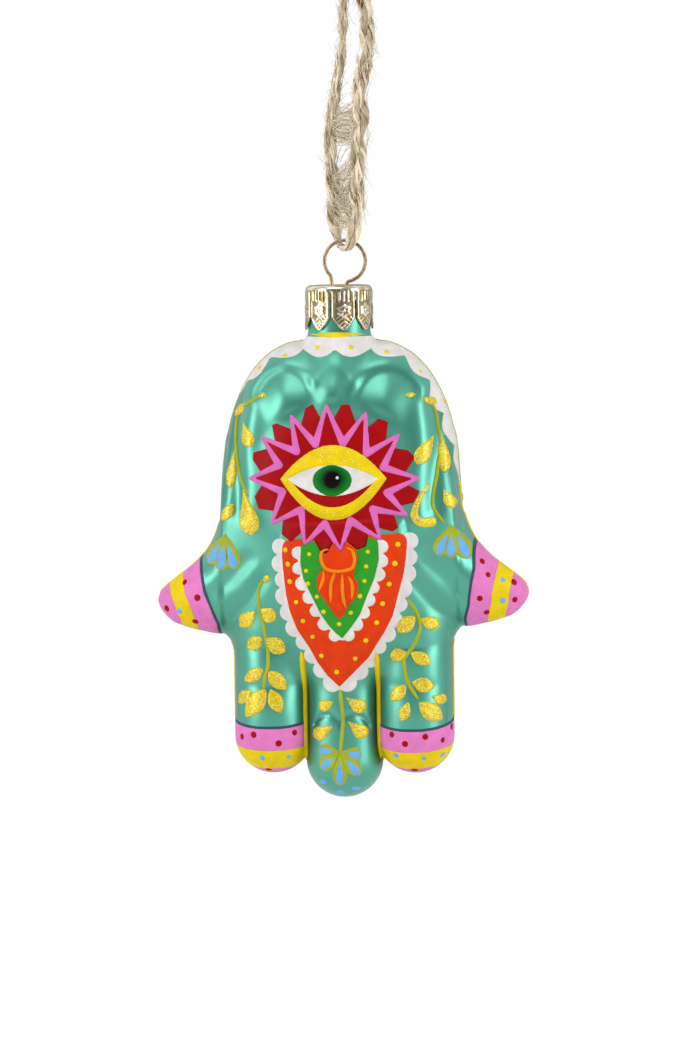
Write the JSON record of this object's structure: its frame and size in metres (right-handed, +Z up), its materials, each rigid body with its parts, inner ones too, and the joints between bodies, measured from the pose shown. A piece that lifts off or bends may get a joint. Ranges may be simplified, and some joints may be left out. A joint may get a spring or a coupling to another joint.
{
  "type": "hamsa hand ornament",
  "caption": "Hanging blown glass ornament shaped as a downward open hand with flared thumbs, under a petalled metal cap, wire ring and tied twine loop.",
  "frame": {"origin": "the point under the twine's knot where a hook carries the loop", "axes": "+Z up, the painted front faces -Y, +X to the right of someone who looks at the front"},
  "size_m": [0.0746, 0.0277, 0.1864],
  "materials": {
    "lacquered_glass": "silvered inside, satin teal lacquer and hand-painted enamel outside",
    "gilt_tinplate": "stamped, pale gold plate",
    "brass_wire": "drawn, bright",
    "jute_twine": "natural, loosely twisted, hairy"
  },
  "bodies": {
    "twine": {"twine_loop": "jute_twine", "twine_knot": "jute_twine", "twine_tails": "jute_twine"},
    "hanger": {"hanger_wire": "brass_wire", "crown_cap": "gilt_tinplate"},
    "hand": {"glass_hand": "lacquered_glass"}
  },
  "joints": [
    {"name": "loop_swing", "type": "hinge", "parent": "twine", "child": "hanger", "pos_m": [-0.0019, 0, -0.05615], "axis": [1, 0, 0], "range_deg": [-110, 110]},
    {"name": "cap_turn", "type": "hinge", "parent": "hanger", "child": "hand", "pos_m": [-0.0032, 0, -0.0655], "axis": [0, 0, 1], "continuous": true}
  ]
}
